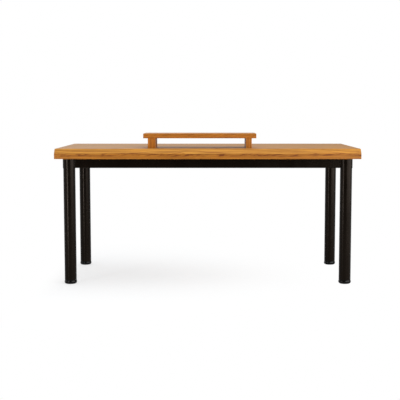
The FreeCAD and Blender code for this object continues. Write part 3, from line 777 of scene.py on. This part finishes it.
def makeScrews():
    low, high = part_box("top_screws")
    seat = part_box("top_tabs")[0].z
    model = socketScrew("screw_model", topScrew, low.z, seat, high.z)
    places = [Vector((side * along, row * topScrew["across"], 0))
              for side in (-1, 1) for along in topScrew["along"] for row in (-1, 1)]
    copies = [copyPiece(model, "screw_copy", place) for place in places]
    bpy.data.objects.remove(model)
    screws = joinPieces("socket_head_top_screws", copies)
    finishPiece(screws, "zinc_plated_steel", "desk")
    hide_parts("top_screws")

    low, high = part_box("leg_bolts")
    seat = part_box("leg_washers")[1].z
    model = socketScrew("bolt_model", legBolt, seat, high.z, low.z)
    copies = [copyPiece(model, "bolt_copy", legAxis(corner)) for corner in corners]
    bpy.data.objects.remove(model)
    bolts = joinPieces("socket_head_leg_bolts", copies)
    finishPiece(bolts, "black_oxide_steel", "desk")
    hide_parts("leg_bolts")


# Weld beads in the corners of the frame, painted with it
weldBead = {
    "radius": 0.0024,
    "sides": 10,
    "ripple": 0.0022,        # m between two ripples
    "rippleDip": 0.86,
    "endDip": 0.55,
    "standOut": 0.0004,      # how far the bead's middle stands out of the corner
    "shorter": 0.0015,       # m short of the joint at each end
    "tabWidth": 0.040,       # as in the CAD
    "softAngle": 60,
}


def beadModel(name, length):  # stands upright on the origin
    values = weldBead
    bead = addPrimitive(name, "cylinder", vertices=values["sides"], radius=values["radius"], depth=length,
                        location=(0, 0, length / 2))
    rings = 2 * round(length / values["ripple"] / 2)
    pick(bead, "edges", lambda edge, middle: abs(edge.verts[0].co.z - edge.verts[1].co.z) > length / 2)
    bpy.ops.mesh.subdivide(number_cuts=rings - 1)
    step = length / rings
    pick(bead, "verts", lambda vertex, middle: round(middle.z / step) % 2 == 1)
    bpy.ops.transform.resize(value=(values["rippleDip"], values["rippleDip"], 1))
    pick(bead, "verts", lambda vertex, middle: round(middle.z / step) in (0, rings))
    bpy.ops.transform.resize(value=(values["endDip"], values["endDip"], 1))
    onlySelect(bead)
    return bead


def makeWelds():
    values = weldBead
    tabWidth, out = values["tabWidth"], values["standOut"]
    low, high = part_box("front_rail")
    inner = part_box("centre_rail")
    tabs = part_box("top_tabs")
    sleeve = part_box("front_right_socket")
    sleeveRadius = (sleeve[1].x - sleeve[0].x) / 2
    base = low.z + values["shorter"]
    upright = beadModel("upright_bead", high.z - low.z - 2 * values["shorter"])
    level = beadModel("level_bead", tabWidth - 2 * values["shorter"])
    halfRail = (high.y - low.y) / 2
    reach = math.sqrt(sleeveRadius ** 2 - halfRail ** 2)   # a sleeve's middle to the end of a rail's face
    copies = []
    for corner in corners:
        axis = legAxis(corner)
        toMiddle = Vector((-math.copysign(1, axis.x), -math.copysign(1, axis.y), 0))
        for side in (-1, 1):
            longRail = axis + Vector((toMiddle.x * reach, side * halfRail, base))
            copies.append(copyPiece(upright, "bead", longRail + Vector((toMiddle.x, side, 0)) * out))
            shortRail = axis + Vector((side * halfRail, toMiddle.y * reach, base))
            copies.append(copyPiece(upright, "bead", shortRail + Vector((side, toMiddle.y, 0)) * out))
    for row in (-1, 1):
        for side in (-1, 1):
            place = Vector((side * inner[1].x, row * inner[1].y, base)) + Vector((side, -row, 0)) * out
            copies.append(copyPiece(upright, "bead", place))
            for along in topScrew["along"]:
                start = side * along - tabWidth / 2 + values["shorter"]
                place = Vector((start, row * inner[1].y, tabs[0].z)) + Vector((0, -row, -1)) * out
                copies.append(copyPiece(level, "bead", place, (0, math.pi / 2, 0)))
    bpy.data.objects.remove(upright)
    bpy.data.objects.remove(level)
    welds = joinPieces("frame_welds", copies)
    finishPiece(welds, "black_powder_coat", "desk", values["softAngle"])


makeStuds()
makeFootPads()
makeScrews()
makeWelds()
print("studs, feet, screws and welds modelled")


# Plain pale floor, white to the eye, that keeps the desk's soft shadow; its glow is painted light that
# shapes the shade
studio = {
    "floorWidth": 40.0,
    "floorFront": -2.8,      # m, just below the picture's lower edge
    "floorBack": 30.0,
    "floorGap": 0.0005,      # m below the feet
    # slightly blue: a painted cool tint against the warm light that the wood bounces into the shade
    "floorColour": "B4B6B8",
    "glow": 0.08,            # share of the floor's white that no shadow darkens
    "glossGlow": 0.07,       # the same, as shiny surfaces see it
    "floorLight": 0.478,     # what the lights alone make of the floor's colour
    # the shade's outline is painted: the floor's glow, painted light, washes the real shadow out away from
    # this middle
    "shadeMiddle": (-0.60, 0.0, 0),
    "paintedGlowFrom": (0.05, 1.30),       # m from there, where the painted glow makes the floor wholly white
    "paintedGlowLeft": (-0.68, -0.90),     # m along X, where the painted glow does so at the desk's left end
    "fill": 0.56,
    "dimSide": 0.05,         # what shiny surfaces see behind the camera, where the studio is dark
    "backdropWay": (-0.8, 0.6, 0),   # the backdrop is whitest at the left behind the desk
    "backdropEdge": (0.28, 0.68),
    "sunStrength": 1.12,
    "sunSoftness": 80,       # degrees
    "sunFrom": (0.42, 0.28, 0.90),
    "lights": {
        # a wide panel at the right, and a narrow one at the left that draws a line down each leg
        "rightPanel": {"at": (3.0, -2.2, 1.5), "size": (5.0, 2.6), "power": 150.0},
        "leftPanel": {"at": (-1.75, -1.85, 0.40), "size": (0.35, 0.75), "power": 11.0},
    },
}


def addFloor():
    bpy.ops.object.select_all(action="DESELECT")
    depth = studio["floorBack"] - studio["floorFront"]
    middle = (0, studio["floorFront"] + depth / 2, cadBox[0].z - studio["floorGap"])
    bpy.ops.mesh.primitive_plane_add(size=1, location=middle)
    floor = bpy.context.active_object
    floor.scale = (studio["floorWidth"], depth, 1)
    floor.name = "floor"
    bpy.ops.object.transform_apply(location=True, rotation=True, scale=True)
    material, tree, shader = newMaterial("pale_floor")
    addNode(tree, shader, {
        "Base Color": hexColour(studio["floorColour"]), "Roughness": 1.0, "Specular IOR Level": 0.0})
    rays = addNode(tree, "ShaderNodeLightPath")
    shiny = addNode(tree, "ShaderNodeMath", {
        "operation": "MAXIMUM", 0: rays.outputs["Is Glossy Ray"], 1: rays.outputs["Is Transmission Ray"]})
    shinyShare = addNode(tree, "ShaderNodeMath", {
        "operation": "MULTIPLY", 0: shiny, 1: studio["glossGlow"]})
    # painted light: the glow's share rises away from the shade's middle and past the desk's left end, so
    # the real shadow shows only in a soft area there
    place = addNode(tree, "ShaderNodeTexCoord")
    away = addNode(tree, "ShaderNodeVectorMath", {
        "operation": "DISTANCE", 0: place.outputs["Object"], 1: studio["shadeMiddle"]})
    around = addNode(tree, "ShaderNodeMapRange", {
        "interpolation_type": "SMOOTHSTEP", "Value": away.outputs["Value"],
        "From Min": studio["paintedGlowFrom"][0], "From Max": studio["paintedGlowFrom"][1], "To Min": studio["glow"],
        "To Max": 1.0})
    spot = addNode(tree, "ShaderNodeSeparateXYZ", {0: place.outputs["Object"]})
    leftward = addNode(tree, "ShaderNodeMapRange", {
        "interpolation_type": "SMOOTHSTEP", "Value": spot.outputs["X"],
        "From Min": studio["paintedGlowLeft"][0], "From Max": studio["paintedGlowLeft"][1]})
    paintedGlowShare = addNode(tree, "ShaderNodeMath", {"operation": "MAXIMUM", 0: around, 1: leftward})
    share = addNode(tree, "ShaderNodeMath", {
        "operation": "MULTIPLY_ADD", 0: rays.outputs["Is Camera Ray"], 1: paintedGlowShare, 2: shinyShare})
    # so strong that the glow and the light on the floor together give white
    litShare = addNode(tree, "ShaderNodeMath", {"operation": "SUBTRACT", 0: 1.0, 1: paintedGlowShare})
    litLevel = addNode(tree, "ShaderNodeMath", {
        "operation": "MULTIPLY", 0: litShare, 1: studio["floorLight"]})
    rest = addNode(tree, "ShaderNodeMath", {"operation": "SUBTRACT", 0: 1.0, 1: litLevel})
    strength = addNode(tree, "ShaderNodeMath", {"operation": "DIVIDE", 0: rest, 1: paintedGlowShare})
    glow = addNode(tree, "ShaderNodeEmission", {"Color": (1, 1, 1, 1), "Strength": strength})
    seen = addNode(tree, "ShaderNodeMixShader", {0: share, 1: shader, 2: glow})
    # open from below, so that the desk's underside can be looked at
    side = addNode(tree, "ShaderNodeNewGeometry")
    clear = addNode(tree, "ShaderNodeBsdfTransparent")
    oneSided = addNode(tree, "ShaderNodeMixShader", {0: side.outputs["Backfacing"], 1: seen, 2: clear})
    addNode(tree, tree.nodes["Material Output"], {"Surface": oneSided})
    floor.data.materials.append(material)


def addWorld():
    world = bpy.data.worlds.new("studio")
    world.use_nodes = True
    scene.world = world
    tree = world.node_tree
    rays = addNode(tree, "ShaderNodeLightPath")
    shiny = addNode(tree, "ShaderNodeMath", {
        "operation": "MAXIMUM", 0: rays.outputs["Is Glossy Ray"], 1: rays.outputs["Is Transmission Ray"]})
    way = addNode(tree, "ShaderNodeTexCoord")
    towards = addNode(tree, "ShaderNodeVectorMath", {
        "operation": "DOT_PRODUCT", 0: way.outputs["Generated"], 1: studio["backdropWay"]})
    backdrop = addNode(tree, "ShaderNodeMapRange", {
        "Value": towards.outputs["Value"], "From Min": studio["backdropEdge"][0],
        "From Max": studio["backdropEdge"][1], "To Min": studio["dimSide"], "To Max": 1.0})
    lit = addNode(tree, "ShaderNodeMix", {
        "data_type": "FLOAT", 0: shiny, levelA: studio["fill"], levelB: backdrop})
    level = addNode(tree, "ShaderNodeMix", {
        "data_type": "FLOAT", 0: rays.outputs["Is Camera Ray"], levelA: lit, levelB: 1.0})
    addNode(tree, tree.nodes["Background"], {"Color": (1, 1, 1, 1), "Strength": level})


def addLights():
    sun = bpy.data.lights.new("key", "SUN")
    sun.energy = studio["sunStrength"]
    sun.angle = math.radians(studio["sunSoftness"])
    key = bpy.data.objects.new("key", sun)
    key.rotation_euler = Vector(studio["sunFrom"]).to_track_quat("Z", "Y").to_euler()
    scene.collection.objects.link(key)
    for name, values in studio["lights"].items():
        box = bpy.data.lights.new(name, "AREA")
        box.shape = "RECTANGLE"
        box.size, box.size_y = values["size"]
        box.energy = values["power"]
        panel = bpy.data.objects.new(name, box)
        panel.location = values["at"]
        away = Vector((values["at"][0], values["at"][1], 0))  # upright, turned towards the desk
        panel.rotation_euler = away.to_track_quat("Z", "Y").to_euler()
        scene.collection.objects.link(panel)


# The photograph's camera, fitted to the desk's edges in a picture of 400 by 400 pixels
photoView = {
    "side": 400,
    "focalPixels": 921.55,
    "axisX": 207.695,
    "axisY": 196.58,
    "height": 0.92448,
    "beforeDesk": 4.7903,    # m from the desk's front edge
    "downTilt": 0.0943,      # radians
    "sensor": 36.0,          # mm
}


def addCamera():
    view = photoView
    data = bpy.data.cameras.new("camera")
    data.sensor_width = view["sensor"]
    data.lens = view["sensor"] * view["focalPixels"] / view["side"]
    data.shift_x = (view["side"] / 2 - view["axisX"]) / view["side"]
    data.shift_y = (view["axisY"] - view["side"] / 2) / view["side"]
    camera = bpy.data.objects.new("camera", data)
    camera.location = (0, cadBox[0].y - view["beforeDesk"], view["height"])
    camera.rotation_euler = (math.pi / 2 - view["downTilt"], 0, 0)
    scene.collection.objects.link(camera)
    scene.camera = camera


addFloor()
addWorld()
addLights()
addCamera()
scene.view_settings.view_transform = "Standard"
print("studio and camera set")
